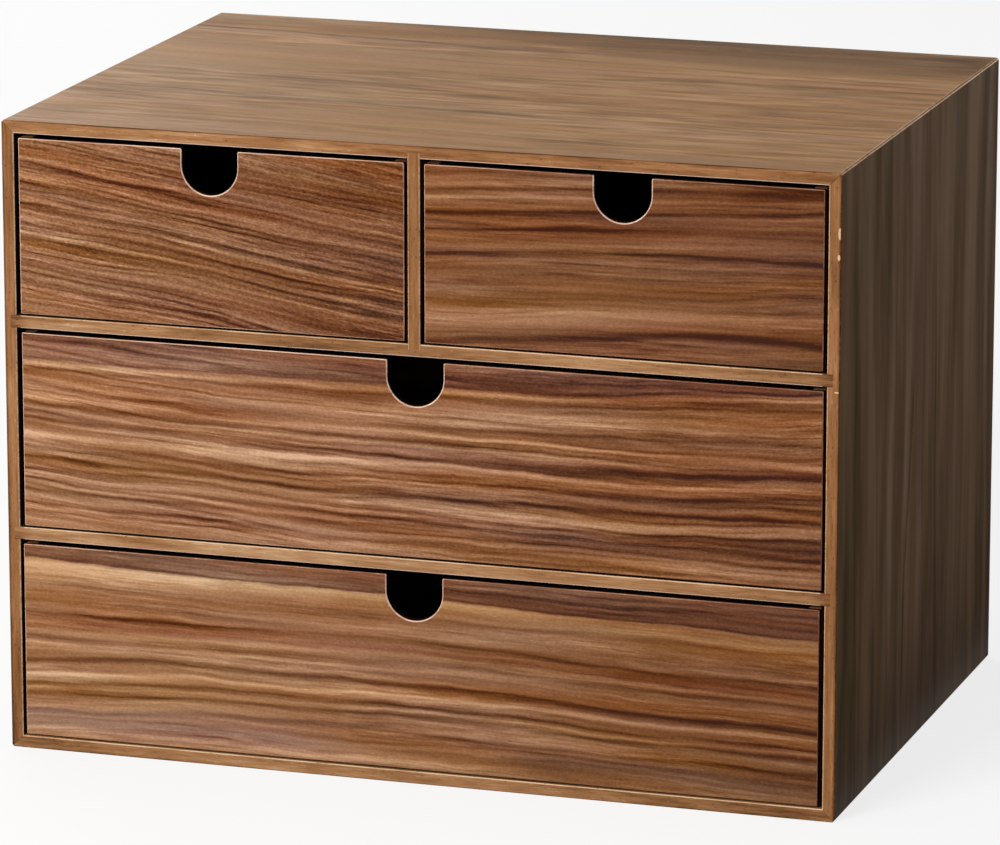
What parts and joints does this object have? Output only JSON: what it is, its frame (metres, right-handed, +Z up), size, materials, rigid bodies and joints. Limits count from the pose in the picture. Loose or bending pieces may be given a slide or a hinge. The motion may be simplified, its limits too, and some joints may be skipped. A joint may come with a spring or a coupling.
{
  "type": "desktop drawer cabinet",
  "caption": "Walnut-veneered desktop cabinet of thin mitred boards, with two small pull-out drawers above two wide ones and a half-round finger notch in each front.",
  "frame": {"origin": "middle of the underside, where the cabinet rests", "axes": "+X to the right along the front, +Y from the front to the back, +Z up; the drawers open towards -Y"},
  "size_m": [0.34, 0.248, 0.255],
  "materials": {
    "cabinet_walnut": "satin",
    "board_edges": "satin",
    "back_board": "matte",
    "front_walnut": "satin",
    "drawer_box_walnut": "matte",
    "drawer_base_board": "matte"
  },
  "bodies": {
    "cabinet": {"top_panel": "cabinet_walnut", "bottom_panel": "cabinet_walnut", "left_side": "cabinet_walnut", "right_side": "cabinet_walnut", "back_panel": "back_board", "upper_shelf": "board_edges", "lower_shelf": "board_edges", "centre_divider": "board_edges"},
    "top_left_drawer": {"top_left_drawer_front": "front_walnut", "top_left_drawer_left_side": "drawer_box_walnut", "top_left_drawer_right_side": "drawer_box_walnut", "top_left_drawer_rear": "drawer_box_walnut", "top_left_drawer_base": "drawer_base_board"},
    "top_right_drawer": {"top_right_drawer_front": "front_walnut", "top_right_drawer_left_side": "drawer_box_walnut", "top_right_drawer_right_side": "drawer_box_walnut", "top_right_drawer_rear": "drawer_box_walnut", "top_right_drawer_base": "drawer_base_board"},
    "middle_drawer": {"middle_drawer_front": "front_walnut", "middle_drawer_left_side": "drawer_box_walnut", "middle_drawer_right_side": "drawer_box_walnut", "middle_drawer_rear": "drawer_box_walnut", "middle_drawer_base": "drawer_base_board"},
    "bottom_drawer": {"bottom_drawer_front": "front_walnut", "bottom_drawer_left_side": "drawer_box_walnut", "bottom_drawer_right_side": "drawer_box_walnut", "bottom_drawer_rear": "drawer_box_walnut", "bottom_drawer_base": "drawer_base_board"}
  },
  "joints": [
    {"name": "top_left_slide", "type": "slide", "parent": "cabinet", "child": "top_left_drawer", "axis": [0, -1, 0], "range_m": [0, 0.19]},
    {"name": "top_right_slide", "type": "slide", "parent": "cabinet", "child": "top_right_drawer", "axis": [0, -1, 0], "range_m": [0, 0.19]},
    {"name": "middle_slide", "type": "slide", "parent": "cabinet", "child": "middle_drawer", "axis": [0, -1, 0], "range_m": [0, 0.19]},
    {"name": "bottom_slide", "type": "slide", "parent": "cabinet", "child": "bottom_drawer", "axis": [0, -1, 0], "range_m": [0, 0.19]}
  ]
}
